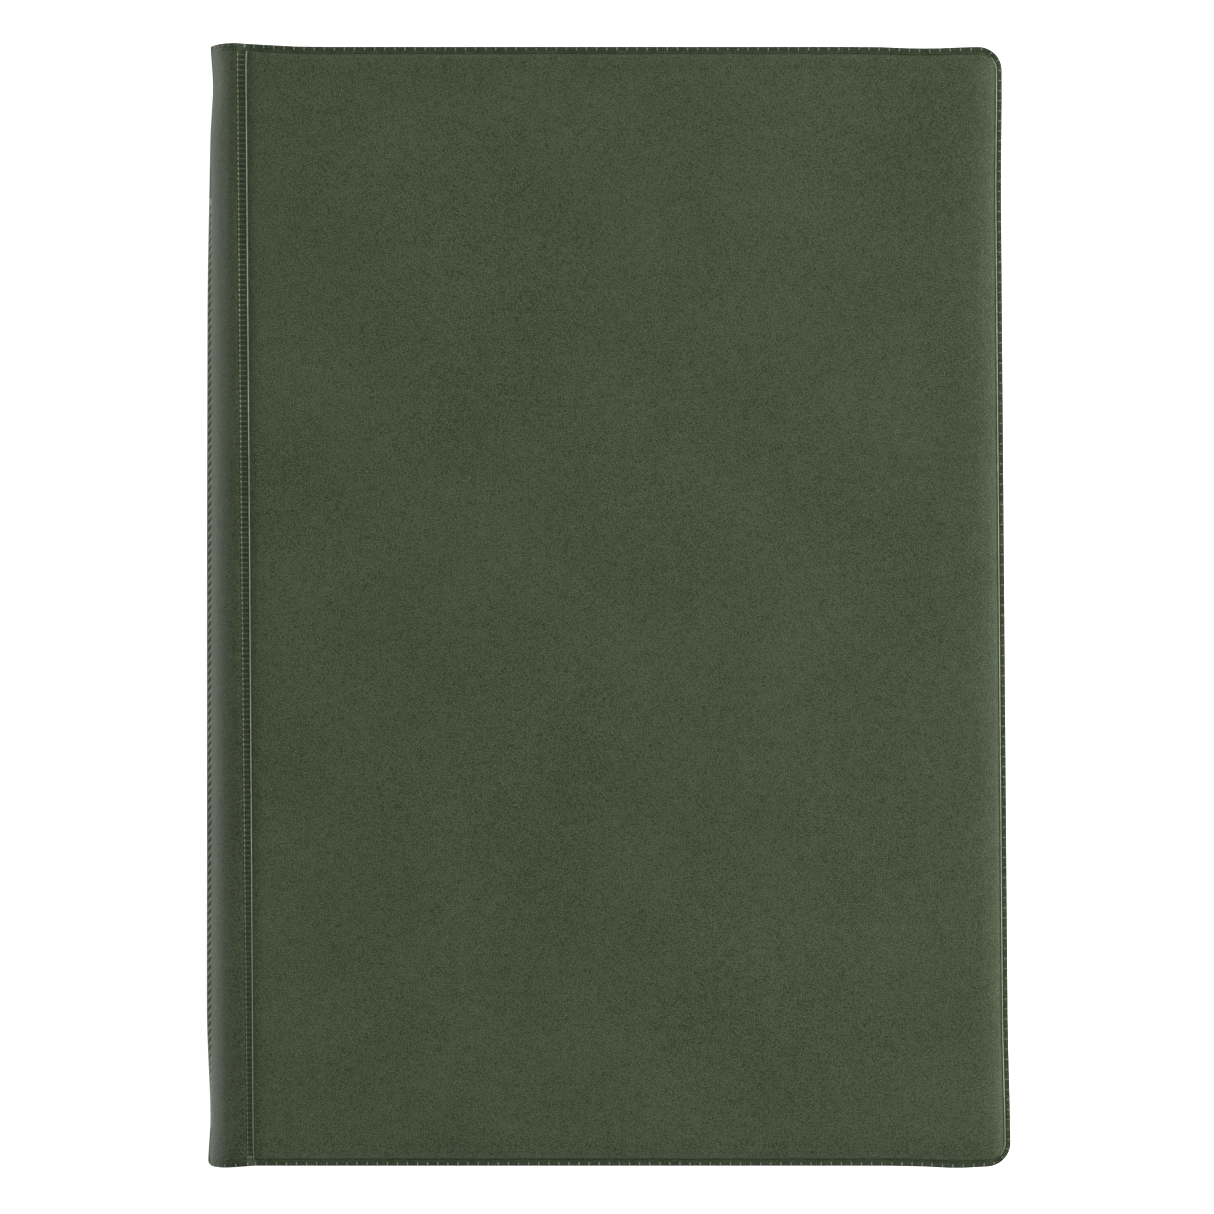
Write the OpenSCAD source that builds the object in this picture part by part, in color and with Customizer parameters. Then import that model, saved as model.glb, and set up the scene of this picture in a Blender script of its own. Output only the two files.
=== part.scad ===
// Soft vinyl stamp album, closed and lying on its back cover.
// Spine along -X, head of the page towards +Y, +Z up, origin under the middle of the closed album.

/* [Cover] */
// Width of the closed album, from the spine to the fore-edge
album_w = 220; // [150:1:300]
// Length of the album, from head to tail
album_l = 311; // [200:1:400]
// Radius of the round fore-edge corners
corner_r = 6.5; // [3:0.5:12]
// Width of the heat-welded band round the edge of each cover
weld_w = 1.8; // [1:0.1:4]
// Thickness of the outer vinyl
skin_t = 0.5; // [0.3:0.05:1]
// Thickness of the foam padding
pad_t = 1; // [0.5:0.1:3]
// Thickness of the greyboard
board_t = 1.8; // [1:0.1:3]
// Thickness of the vinyl lining
lining_t = 0.4; // [0.2:0.05:0.8]
// Thickness of the endpaper
endpaper_t = 0.25; // [0.1:0.05:0.5]
// Bare lining left round the endpaper
endpaper_margin = 5; // [3:0.5:15]
// Clearance round the board and padding in their pocket
pocket_clear = 0.3; // [0.1:0.1:1]

/* [Spine] */
// Distance of the front hinge weld from the spine edge of the closed album
roll_w = 9.5; // [8:0.25:14]
// Depth of each hinge weld below the outer face of its cover
hinge_depth = 1.6; // [1.2:0.1:2]
// Width of the soft strip between a hinge weld and its cover
hinge_w = 3; // [2.5:0.1:6]
// Thickness of the fused vinyl at a hinge weld
fused_t = 0.8; // [0.4:0.1:1]
// Gap between a hinge weld's bead and the spine skin
hinge_clear = 0.3; // [0.2:0.05:0.6]
// How far the spine curves either side of its chord, in degrees
spine_bow = 17; // [12:1:18]
// Thickness of the flexible card in the spine
spine_card_t = 0.5; // [0.3:0.05:1]
// Thickness of the binding cloth
cloth_t = 0.3; // [0.2:0.05:0.5]

/* [Leaves] */
// Distance from one leaf to the next in the closed album
leaf_pitch = 1; // [0.9:0.05:1.6]
// Thickness of a leaf's card
card_t = 0.5; // [0.3:0.05:0.6]
// Thickness of the pocket film, and of the cloth tape glued on the card
film_t = 0.12; // [0.05:0.01:0.13]
// Thickness of a glassine interleaf
glassine_t = 0.06; // [0.03:0.01:0.08]
// Thickness of a cloth guard where it bends
guard_t = 0.3; // [0.2:0.05:0.4]
// Free length of a guard, from its fold to the card
guard_free = 3; // [2:0.25:8]
// Width of the guard's tape on the card
guard_lap = 8; // [5:0.5:15]
// Gap between the fold of a guard and its glued stub
fold_clear = 0.4; // [0.3:0.05:0.8]
// Least margin between a leaf and the back cover's fore-edge
fore_margin = 0.5; // [0.5:0.5:15]
// Margin between a leaf and the cover at head and tail
head_margin = 7; // [3:0.5:20]
// Clearance between the endpaper and the room of the first leaf
block_clear = 0.1; // [0.05:0.05:1]

/* [Pockets] */
// Height of one film pocket strip
strip_h = 29; // [20:1:60]
// Bare card between two pocket strips
strip_gap = 3; // [1:0.5:8]
// Bare card at the fore-edge of a leaf
strip_side = 4; // [2:0.5:12]
// Least bare card above the top strip and below the bottom one
strip_end = 4; // [2:0.5:12]

/* [Hidden] */
$fn = 64;
leaf_count = 8;
front_leaves = leaf_count / 2;

vinyl = [0.25, 0.30, 0.22];
lining_col = [0.2, 0.25, 0.18];
foam = [0.85, 0.85, 0.8];
greyboard = [0.55, 0.53, 0.5];
paper = [0.9, 0.88, 0.82];
black_card = [0.08, 0.08, 0.09];
clear_film = [0.8, 0.85, 0.88];
glassine = [0.88, 0.88, 0.84];
cloth = [0.12, 0.12, 0.12];

// Levels inside a cover, counted from its outer face
board_z = skin_t + pad_t;
lining_z = board_z + board_t;
panel_t = lining_z + lining_t;
inner_z = panel_t + endpaper_t;
album_h = 2 * (inner_z + block_clear) + leaf_count * leaf_pitch;

// The two hinge axes, which run along Y, and the chord of the spine between them
bead_r = fused_t / 2;
back_x = bead_r - album_w / 2;
back_z = hinge_depth;
front_x = roll_w - album_w / 2;
front_z = album_h - hinge_depth;
chord = norm([front_x - back_x, front_z - back_z]);
lean = atan2(front_z - back_z, front_x - back_x);
cover_w = album_w / 2 - front_x;

// The spine's layers are arcs about one centre, and the hinge axes lie on the arc of radius bow_r
bow_r = chord / 2 / sin(spine_bow);
card_out_r = bow_r + bead_r - skin_t;
lining_out_r = card_out_r - spine_card_t;
cloth_out_r = lining_out_r - lining_t;
cloth_in_r = cloth_out_r - cloth_t;
end_angle = (bead_r + hinge_clear) / bow_r * 180 / PI;
skin_angle = spine_bow - end_angle;
inner_angle = spine_bow - 2 * end_angle;

leaf_half_t = card_t / 2 + film_t;
card_l = album_l - 2 * head_margin;
root_margin = 4;
round_off = 0.4;
overshoot = 2;

// A point u along the spine's chord from the back hinge and n inwards from it, as [x, z]
function spine_point(u, n) = [
    back_x + u * cos(lean) + n * sin(lean),
    back_z + u * sin(lean) - n * cos(lean)
];

// Leaf 1 lies next to the front cover and the last leaf next to the back cover
function leaf_z(k) = album_h - inner_z - block_clear - (k - 0.5) * leaf_pitch;
function in_front(k) = k <= front_leaves;

// Each leaf folds where it lies as far above its cover when open as when closed
function fold_x(k) = in_front(k)
    ? front_x + (front_z - leaf_z(k)) * tan(lean / 2)
    : back_x + (leaf_z(k) - back_z) / tan(lean / 2);
function card_x(k) = fold_x(k) + guard_free;
widest_x = max([for (k = [1:leaf_count]) card_x(k)]);
card_w = back_x + cover_w - fore_margin - widest_x;

root_step = (chord - 2 * root_margin) / (leaf_count - 1);
function root_u(k) = root_margin + (leaf_count - k) * root_step;

// Draws a profile in X and Z and extends it along Y
module along_y(length) {
    rotate([90, 0, 0]) linear_extrude(height = length, center = true) children();
}

// A flat rectangle from x0 to x1 and z0 to z1
module slab(x0, x1, z0, z1) {
    translate([x0, z0]) square([x1 - x0, z1 - z0]);
}

// A cover's outline in X and Y, inset all round by a distance, with round corners at the fore-edge
module cover_outline(inset) {
    x0 = hinge_w;
    x1 = cover_w - inset;
    half = album_l / 2 - inset;
    r = corner_r > inset + round_off ? corner_r - inset : round_off;
    translate([x0, -half]) square([x1 - r - x0, 2 * half]);
    translate([x1 - r - overshoot, r - half]) square([r + overshoot, 2 * (half - r)]);
    for (side = [-1, 1]) translate([x1 - r, side * (half - r)]) circle(r);
}

module cover_plate(inset, z0, thickness) {
    translate([0, 0, z0]) linear_extrude(height = thickness) cover_outline(inset);
}

// A plate inside the cover's pocket, clear of the skin's walls on every side
module pocket_plate(z0, thickness) {
    inset = weld_w + skin_t + pocket_clear;
    wall_x = hinge_w + skin_t + pocket_clear;
    intersection() {
        cover_plate(inset, z0, thickness);
        translate([wall_x, -album_l, z0]) cube([album_w, 2 * album_l, thickness]);
    }
}

// Parts of one cover, lying on its outer face with its hinge axis at x = 0
module cover_skin() {
    color(vinyl) difference() {
        union() {
            cover_plate(weld_w, 0, lining_z);
            cover_plate(0, lining_z - skin_t, skin_t);
        }
        intersection() {
            cover_plate(weld_w + skin_t, skin_t, lining_z);
            translate([hinge_w + skin_t, -album_l, 0]) cube([album_w, 2 * album_l, album_h]);
        }
    }
}

module cover_padding() {
    color(foam) pocket_plate(skin_t, pad_t);
}

module cover_board() {
    color(greyboard) pocket_plate(board_z, board_t);
}

module cover_lining() {
    color(lining_col) cover_plate(0, lining_z, lining_t);
}

module cover_endpaper() {
    x0 = hinge_w + endpaper_margin;
    x1 = cover_w - endpaper_margin;
    length = album_l - 2 * endpaper_margin;
    color(paper) translate([x0, -length / 2, panel_t]) cube([x1 - x0, length, endpaper_t]);
}

module cover_hinge_weld() {
    color(vinyl) along_y(album_l) union() {
        translate([0, hinge_depth]) circle(bead_r);
        slab(0, hinge_w, hinge_depth - bead_r, hinge_depth + bead_r);
    }
}

module as_back() {
    translate([back_x, 0, 0]) children();
}

module as_front() {
    translate([front_x, 0, album_h]) mirror([0, 0, 1]) children();
}

// One layer of the bowed spine between two radii, reaching an angle either side of the middle
module spine_layer(r_in, r_out, half_angle) {
    centre = spine_point(chord / 2, bow_r * cos(spine_bow));
    reach = 2 * bow_r;
    translate(centre) rotate(lean + 90) intersection() {
        difference() {
            circle(r_out, $fn = 96);
            circle(r_in, $fn = 96);
        }
        polygon([
            [0, 0],
            [reach, -reach * tan(half_angle)],
            [reach, reach * tan(half_angle)]
        ]);
    }
}

module spine_skin() {
    color(vinyl) along_y(album_l) spine_layer(card_out_r, bow_r + bead_r, skin_angle);
}

module spine_card() {
    color(greyboard) along_y(album_l - 2 * weld_w) spine_layer(lining_out_r, card_out_r, inner_angle);
}

module spine_lining() {
    color(lining_col) along_y(album_l) spine_layer(cloth_out_r, lining_out_r, inner_angle);
}

module binding_cloth() {
    color(cloth) along_y(card_l) spine_layer(cloth_in_r, cloth_out_r, inner_angle);
}

// The glued ends of the guards, from the binding cloth to the fold of each leaf
module guard_stubs() {
    centre = spine_point(chord / 2, bow_r * cos(spine_bow));
    color(cloth) along_y(card_l) intersection() {
        translate(centre) circle(cloth_in_r, $fn = 96);
        for (k = [1:leaf_count]) {
            root = spine_point(root_u(k), -overshoot);
            fold = [fold_x(k), leaf_z(k)];
            run = norm(fold - root);
            tilt = atan2(fold[1] - root[1], fold[0] - root[0]);
            translate(root) rotate(tilt) slab(0, run - guard_t / 2 - fold_clear, -guard_t / 2, guard_t / 2);
        }
    }
}

module leaf_card(k) {
    color(black_card) translate([card_x(k), -card_l / 2, leaf_z(k) - card_t / 2])
        cube([card_w, card_l, card_t]);
}

// Rows of film on both faces of the card, spread evenly from head to tail
module leaf_pockets(k) {
    step = strip_h + strip_gap;
    rows = floor((card_l - 2 * strip_end + strip_gap) / step);
    first_y = -(rows * step - strip_gap) / 2;
    width = card_w - guard_lap - strip_side;
    for (row = [0:rows - 1], z = [-leaf_half_t, card_t / 2])
        color(clear_film) translate([card_x(k) + guard_lap, first_y + row * step, leaf_z(k) + z])
            cube([width, strip_h, film_t]);
}

// Cloth tape that bends at the fold and is glued over both faces of the card's spine edge
module leaf_guard(k) {
    edge = guard_free - round_off;
    color(cloth) translate([fold_x(k), 0, leaf_z(k)]) along_y(card_l) union() {
        circle(guard_t / 2);
        slab(0, edge, -guard_t / 2, guard_t / 2);
        slab(edge, guard_free, -leaf_half_t, leaf_half_t);
        slab(guard_free, guard_free + guard_lap, card_t / 2, leaf_half_t);
        slab(guard_free, guard_free + guard_lap, -leaf_half_t, -card_t / 2);
    }
}

// Glassine under a front leaf, or over a back leaf, glued along the guard
module interleaf(k) {
    leaf = in_front(k) ? k : k + 1;
    z = in_front(k) ? -leaf_half_t - glassine_t : leaf_half_t;
    color(glassine) translate([card_x(leaf), -card_l / 2, leaf_z(leaf) + z])
        cube([card_w, card_l, glassine_t]);
}

as_front() cover_skin();  // front_skin
as_front() cover_padding();  // front_padding
as_front() cover_board();  // front_board
as_front() cover_lining();  // front_lining
as_front() cover_endpaper();  // front_endpaper
as_front() cover_hinge_weld();  // front_hinge_weld
spine_skin();
spine_card();
spine_lining();
binding_cloth();
guard_stubs();
as_back() cover_skin();  // back_skin
as_back() cover_padding();  // back_padding
as_back() cover_board();  // back_board
as_back() cover_lining();  // back_lining
as_back() cover_endpaper();  // back_endpaper
as_back() cover_hinge_weld();  // back_hinge_weld
for (k = [1:leaf_count]) {
    leaf_card(k);
    leaf_pockets(k);
    leaf_guard(k);
}
for (k = [1:leaf_count - 1]) {
    interleaf(k);
}
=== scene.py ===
"""Stamp album: padded vinyl covers on a soft spine, round a block of black strip leaves."""

import logging
import math
from dataclasses import dataclass, field
from enum import Enum
from typing import Any, Iterable, Sequence

import bpy
import numpy as np
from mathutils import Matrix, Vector, noise


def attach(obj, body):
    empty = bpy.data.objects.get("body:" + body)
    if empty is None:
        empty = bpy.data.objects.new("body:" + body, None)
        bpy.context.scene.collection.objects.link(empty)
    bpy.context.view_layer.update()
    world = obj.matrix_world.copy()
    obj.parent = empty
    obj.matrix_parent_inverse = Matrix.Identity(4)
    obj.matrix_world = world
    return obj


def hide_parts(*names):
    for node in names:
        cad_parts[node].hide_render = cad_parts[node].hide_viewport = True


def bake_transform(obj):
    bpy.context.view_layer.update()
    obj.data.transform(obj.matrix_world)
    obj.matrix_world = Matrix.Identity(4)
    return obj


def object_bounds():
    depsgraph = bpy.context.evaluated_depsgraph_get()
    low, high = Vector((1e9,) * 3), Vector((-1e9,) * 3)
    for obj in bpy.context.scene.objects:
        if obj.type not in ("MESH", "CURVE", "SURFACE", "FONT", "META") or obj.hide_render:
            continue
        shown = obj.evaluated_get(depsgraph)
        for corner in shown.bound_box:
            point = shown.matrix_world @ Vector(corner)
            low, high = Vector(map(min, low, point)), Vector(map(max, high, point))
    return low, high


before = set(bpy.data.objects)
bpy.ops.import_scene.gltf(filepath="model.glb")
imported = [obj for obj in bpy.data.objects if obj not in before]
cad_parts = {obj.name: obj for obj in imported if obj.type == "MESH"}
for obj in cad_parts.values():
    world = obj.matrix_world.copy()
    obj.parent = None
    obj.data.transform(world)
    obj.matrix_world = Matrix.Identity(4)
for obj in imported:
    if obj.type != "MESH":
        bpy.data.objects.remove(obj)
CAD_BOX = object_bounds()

log = logging.getLogger("stamp_album")
MM = 0.001
FLAT = "flat"
Colour = tuple[float, float, float]
Place = tuple[float, float, float]
Corner = tuple[float, float]


class Cover(Enum):
    """Which of the two covers a sheet belongs to."""

    FRONT = "front"
    BACK = "back"


# ---------------------------------------------------------------- shaders


class Wire:
    """One value socket, whose arithmetic adds Math nodes."""

    def __init__(self, graph: "Graph", socket: Any) -> None:
        """Keep the socket.

        Args:
            graph: the material's graph that gets the new nodes.
            socket: an output socket.
        """
        self.graph = graph
        self.socket = socket

    def math(self, operation: str, *others: Any) -> "Wire":
        """Add one Math node.

        Args:
            operation: the Math node's operation.
            others: the node's further inputs, wires or numbers.

        Returns:
            The wire of the result.
        """
        values = dict(enumerate((self, *others)))
        made = self.graph.add("ShaderNodeMath", {"operation": operation}, values)
        return Wire(self.graph, made.outputs[0])

    def __add__(self, other: Any) -> "Wire":
        """Sum."""
        return self.math("ADD", other)

    def __rsub__(self, other: float) -> "Wire":
        """Difference from a number."""
        return (self * -1.0) + other

    def __mul__(self, other: Any) -> "Wire":
        """Product."""
        return self.math("MULTIPLY", other)

    __radd__ = __add__
    __rmul__ = __mul__

    def ramp(self, low: float, high: float) -> "Wire":
        """Smooth step of this value.

        Args:
            low: the value where the step begins.
            high: the value where it ends.

        Returns:
            The wire of the result.
        """
        kind = {"interpolation_type": "SMOOTHSTEP"}
        made = self.graph.add("ShaderNodeMapRange", kind, {0: self, 1: low, 2: high})
        return Wire(self.graph, made.outputs[0])


class Graph:
    """A material's node graph, with one Principled shader."""

    def __init__(self, name: str) -> None:
        """Make the material.

        Args:
            name: the material's name.
        """
        self.material = bpy.data.materials.new(name)
        self.material.use_nodes = True
        self.tree = self.material.node_tree
        self.tree.nodes.clear()
        surface = self.add("ShaderNodeOutputMaterial").inputs[0]
        self.shader = self.add("ShaderNodeBsdfPrincipled")
        self.tree.links.new(self.shader.outputs[0], surface)

    def add(self, kind: str, settings: dict | None = None, inputs: dict | None = None) -> Any:
        """Add a node.

        Args:
            kind: the node's type.
            settings: its own settings, set first.
            inputs: values or links of its sockets, by name or place.

        Returns:
            The node.
        """
        made = self.tree.nodes.new(kind)
        for name, value in (settings or {}).items():
            setattr(made, name, value)
        for key, value in (inputs or {}).items():
            self.feed(made.inputs[key], value)
        return made

    def feed(self, socket: Any, value: Any) -> None:
        """Set or link one input socket.

        Args:
            socket: the input socket.
            value: a wire, an output socket, or a plain value; a colour has three numbers.
        """
        if isinstance(value, Wire):
            value = value.socket
        elif isinstance(value, tuple) and socket.type == "RGBA":
            value = (*value, 1.0)
        if isinstance(value, bpy.types.NodeSocket):
            self.tree.links.new(value, socket)
        else:
            socket.default_value = value

    def place(self, on_sheet: bool) -> Any:
        """Coordinates in metres.

        Args:
            on_sheet: True for a sheet's own flat coordinates, False for the object's.

        Returns:
            The vector socket.
        """
        if on_sheet:
            return self.add("ShaderNodeAttribute", {"attribute_name": FLAT}).outputs["Vector"]
        return self.add("ShaderNodeTexCoord").outputs["Object"]

    def noise(self, where: Any, scale: float, detail: float = 2.0, rough: float = 0.5) -> Wire:
        """Noise between 0 and 1.

        Args:
            where: the vector socket it is read at.
            scale: features for each metre.
            detail: octaves.
            rough: weight of the finer octaves.

        Returns:
            The wire of the noise.
        """
        values = {"Vector": where, "Scale": scale, "Detail": detail, "Roughness": rough}
        made = self.add("ShaderNodeTexNoise", {"noise_dimensions": "3D"}, values)
        return Wire(self, made.outputs[0])

    def pebbles(self, where: Any, scale: float, feature: str = "DISTANCE_TO_EDGE") -> Wire:
        """Cells, as distance to their edges or to their middles.

        Args:
            where: the vector socket it is read at.
            scale: cells for each metre.
            feature: the Voronoi feature.

        Returns:
            The wire of the distance.
        """
        values = {"Vector": where, "Scale": scale}
        made = self.add("ShaderNodeTexVoronoi", {"feature": feature}, values)
        return Wire(self, made.outputs["Distance"])

    def split(self, where: Any) -> list[Wire]:
        """The three numbers of a vector, as wires."""
        made = self.add("ShaderNodeSeparateXYZ", None, {0: where})
        return [Wire(self, made.outputs[i]) for i in range(3)]

    def mix(self, amount: Any, first: Any, second: Any) -> Any:
        """Mix two colours.

        Args:
            amount: share of the second colour.
            first: the first colour.
            second: the second colour.

        Returns:
            The colour socket.
        """
        made = self.add("ShaderNodeMix", {"data_type": "RGBA"}, {0: amount, 6: first, 7: second})
        return made.outputs[2]

    def warp(self, where: Any, scale: float, amount: float) -> Any:
        """Shift coordinates by a coloured noise, so that cells look grown.

        Args:
            where: the vector socket.
            scale: the noise's features for each metre.
            amount: the largest shift, in metres.

        Returns:
            The shifted vector socket.
        """
        values = {"Vector": where, "Scale": scale, "Detail": 1.0}
        made = self.add("ShaderNodeTexNoise", None, values)
        values = {0: made.outputs["Color"], "Scale": amount}
        shift = self.add("ShaderNodeVectorMath", {"operation": "SCALE"}, values)
        values = {0: where, 1: shift.outputs[0]}
        return self.add("ShaderNodeVectorMath", {"operation": "ADD"}, values).outputs[0]

    def bump(self, height: Wire, depth: float, strength: float = 1.0) -> None:
        """Feed the shader's normal from a height.

        Args:
            height: the height, 0 to 1.
            depth: what 1 stands for, in metres.
            strength: the bump's strength.
        """
        values = {"Strength": strength, "Distance": depth, "Height": height}
        made = self.add("ShaderNodeBump", None, values)
        self.feed(self.shader.inputs["Normal"], made.outputs[0])

    def dress(self, **values: Any) -> None:
        """Set or link the shader's sockets, by name with underscores for spaces."""
        for name, value in values.items():
            self.feed(self.shader.inputs[name.replace("_", " ")], value)


@dataclass(frozen=True)
class Vinyl:
    """Soft vinyl with a fine leather grain."""

    name: str
    dark: Colour = (0.013, 0.024, 0.005)
    light: Colour = (0.088, 0.1155, 0.060)
    grain: float = 0.00012
    rough: float = 0.50

    def make(self) -> bpy.types.Material:
        """Build the material."""
        g = Graph(self.name)
        where = g.place(True)
        grown = g.warp(where, 1500.0, 0.0004)
        cell = g.pebbles(grown, 2200.0).ramp(0.02, 0.32)
        crease = g.noise(where, 3000.0, 3.0, 0.65)
        broad = g.noise(where, 28.0, 3.0, 0.55)
        patch = g.noise(where, 330.0, 2.0)
        tone = (broad * 0.18 + patch * 0.16 + cell * 0.38 + crease * 0.65).ramp(0.37, 1.03)
        g.dress(
            Base_Color=g.mix(tone, self.dark, self.light),
            Roughness=broad * 0.10 + crease * 0.12 + (self.rough - 0.11),
            IOR=1.42,
            Specular_IOR_Level=0.34,
        )
        g.bump(cell * 0.8 + crease * 0.35, self.grain)
        return g.material


@dataclass(frozen=True)
class SmoothVinyl:
    """Smooth vinyl of one colour with paler patches. The finishes use it for pressed weld vinyl,
    for painted shade on the lip's bars, for the lip lightened against its shade, and for a painted
    highlight on the fore-edge rail.
    """

    name: str
    colour: Colour = (0.125, 0.148, 0.098)
    worn: Colour = (0.27, 0.3, 0.225)
    rough: float = 0.38

    def make(self) -> bpy.types.Material:
        """Build the material."""
        g = Graph(self.name)
        where = g.place(True)
        patch = g.noise(where, 900.0, 3.0, 0.6)
        broad = g.noise(where, 40.0, 2.0)
        across, along, _ = g.split(where)
        by_ladder = across.ramp(-0.108, -0.106) * across.ramp(-0.09, -0.095)
        wear = (patch * 0.6 + broad * 0.6).ramp(0.4, 0.85)
        wear = wear * (1.0 - by_ladder * along.ramp(-0.04, -0.1))
        g.dress(
            Base_Color=g.mix(wear, self.colour, self.worn),
            Roughness=patch * 0.15 + (self.rough - 0.07),
        )
        g.bump(patch, 0.00003)
        return g.material


@dataclass(frozen=True)
class Paper:
    """Paper, card or board: fibres, faint mottling."""

    name: str
    dark: Colour
    light: Colour
    rough: float = 0.8
    fibre: float = 0.00003
    clearness: float = 0.0

    def make(self) -> bpy.types.Material:
        """Build the material."""
        g = Graph(self.name)
        where = g.place(False)
        drawn = g.add("ShaderNodeMapping", None, {0: where, "Scale": (1.0, 0.25, 1.0)}).outputs[0]
        fibres = g.noise(drawn, 4200.0, 3.0, 0.7)
        mottle = g.noise(where, 160.0, 3.0, 0.6)
        g.dress(
            Base_Color=g.mix((fibres * 0.5 + mottle * 0.5).ramp(0.3, 0.7), self.dark, self.light),
            Roughness=fibres * 0.1 + (self.rough - 0.05),
        )
        if self.clearness:
            g.dress(Alpha=fibres * 0.12 + (1.0 - self.clearness))
        g.bump(fibres * 0.7 + mottle * 0.3, self.fibre)
        return g.material


@dataclass(frozen=True)
class Cloth:
    """Plain woven binding cloth."""

    name: str
    colour: Colour = (0.012, 0.012, 0.013)
    thread: Colour = (0.035, 0.035, 0.037)
    pitch: float = 0.0005

    def make(self) -> bpy.types.Material:
        """Build the material."""
        g = Graph(self.name)
        where = g.place(True)
        x, y, _ = g.split(where)
        turn = 2.0 * math.pi / self.pitch
        over = (x * turn).math("SINE") * (y * turn).math("SINE")
        weave = over * 0.5 + 0.5
        slub = g.noise(where, 700.0, 2.0)
        g.dress(
            Base_Color=g.mix((weave * 0.6 + slub * 0.4).ramp(0.2, 0.9), self.colour, self.thread),
            Roughness=slub * 0.1 + 0.75,
        )
        g.bump(weave * 0.8 + slub * 0.3, 0.00008)
        return g.material


@dataclass(frozen=True)
class Film:
    """Clear glossy strip film."""

    name: str
    tint: Colour = (0.86, 0.9, 0.92)
    cover: float = 0.07

    def make(self) -> bpy.types.Material:
        """Build the material."""
        g = Graph(self.name)
        where = g.place(False)
        ripple = g.noise(where, 60.0, 2.0)
        scuff = g.noise(where, 1500.0, 2.0)
        g.dress(
            Base_Color=g.mix(scuff, self.tint, (0.8, 0.84, 0.86)),
            Roughness=scuff * 0.08 + 0.05,
            Alpha=scuff * 0.08 + (self.cover - 0.04),
            IOR=1.5,
        )
        g.bump(ripple, 0.0006, 0.6)
        return g.material


@dataclass(frozen=True)
class Foam:
    """Thin white padding foam."""

    name: str

    def make(self) -> bpy.types.Material:
        """Build the material."""
        g = Graph(self.name)
        cell = g.pebbles(g.place(True), 2200.0, "F1")
        g.dress(Base_Color=g.mix(cell, (0.82, 0.8, 0.74), (0.6, 0.58, 0.52)), Roughness=0.9)
        g.bump(cell, 0.0001)
        return g.material


class Finishes:
    """Every finish of the album, made once."""

    def __init__(self) -> None:
        """Make the materials."""
        self.vinyl = Vinyl("green_vinyl").make()
        # Painted shade: a darker vinyl for the sunk weld band at head and tail and for the ladder's
        # recessed floor.
        self.band = Vinyl("shade_band_vinyl", (0.008, 0.015, 0.003), (0.042, 0.058, 0.03), 0.00006).make()
        self.lining = Vinyl(
            "lining_vinyl", (0.03, 0.042, 0.021), (0.042, 0.056, 0.029), 0.00004, 0.6
        ).make()
        # One smooth vinyl for the pressed weld vinyl and rungs, and for the painted shade and
        # painted light below.
        pressed = SmoothVinyl
        # Pale pressed vinyl for the ladder rail and beads; on the fore-edge rail it is also a
        # painted highlight.
        self.pressed = pressed("pressed_rail_and_highlight_vinyl").make()
        # Painted shade: near-black vinyl for the lip's bars, in place of the shaded grooves between
        # the crease's weld ribs.
        self.crease = pressed("lip_groove_shade_vinyl", (0.012, 0.016, 0.009), (0.02, 0.026, 0.015)).make()
        # Painted light: the lip's vinyl is lightened to make up for the shade the spine panel casts
        # on it.
        self.lip = pressed("lip_shade_lifted_vinyl", (0.125, 0.15, 0.095), (0.2, 0.23, 0.16), 0.5).make()
        self.rung = pressed("rung_vinyl", (0.046, 0.061, 0.033), (0.1, 0.12, 0.075)).make()
        self.foam = Foam("padding_foam").make()
        self.board = Paper("grey_board", (0.24, 0.22, 0.19), (0.34, 0.32, 0.28)).make()
        self.endpaper = Paper("endpaper_paper", (0.72, 0.69, 0.6), (0.8, 0.77, 0.68)).make()
        self.card = Paper("black_card", (0.009, 0.009, 0.01), (0.018, 0.018, 0.019), 0.7).make()
        self.glassine = Paper(
            "glassine_paper", (0.78, 0.78, 0.73), (0.86, 0.86, 0.82), 0.45, clearness=0.45
        ).make()
        self.cloth = Cloth("guard_cloth_black").make()
        self.film = Film("strip_film").make()


# ---------------------------------------------------------------- hand tools


def nothing_selected() -> None:
    """Leave edit mode and deselect every object."""
    if bpy.context.object and bpy.context.object.mode != "OBJECT":
        bpy.ops.object.mode_set(mode="OBJECT")
    bpy.ops.object.select_all(action="DESELECT")


def take(piece: bpy.types.Object) -> None:
    """Select one object and make it active.

    Args:
        piece: the object.
    """
    nothing_selected()
    piece.select_set(True)
    bpy.context.view_layer.objects.active = piece


def edit(piece: bpy.types.Object) -> None:
    """Open one object in edit mode with all of it selected.

    Args:
        piece: the object.
    """
    take(piece)
    bpy.ops.object.mode_set(mode="EDIT")
    bpy.ops.mesh.select_all(action="SELECT")


def done() -> None:
    """Go back to object mode."""
    bpy.ops.object.mode_set(mode="OBJECT")


def points_of(piece: bpy.types.Object) -> np.ndarray:
    """Mesh points.

    Args:
        piece: the object.

    Returns:
        One row for each point.
    """
    out = np.empty(len(piece.data.vertices) * 3)
    piece.data.vertices.foreach_get("co", out)
    return out.reshape(-1, 3)


def set_points(piece: bpy.types.Object, places: np.ndarray) -> None:
    """Move the mesh points.

    Args:
        piece: the object.
        places: one row for each point.
    """
    piece.data.vertices.foreach_set("co", places.astype(np.float32).ravel())
    piece.data.update()


def remember_flat(piece: bpy.types.Object, flat: np.ndarray) -> None:
    """Keep the places of the flat sheet on its points, for the grain and the weave.

    Args:
        piece: the sheet.
        flat: one row for each point, in millimetres.
    """
    where = piece.data.attributes.new(FLAT, "FLOAT_VECTOR", "POINT")
    where.data.foreach_set("vector", (flat * MM).astype(np.float32).ravel())


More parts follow.
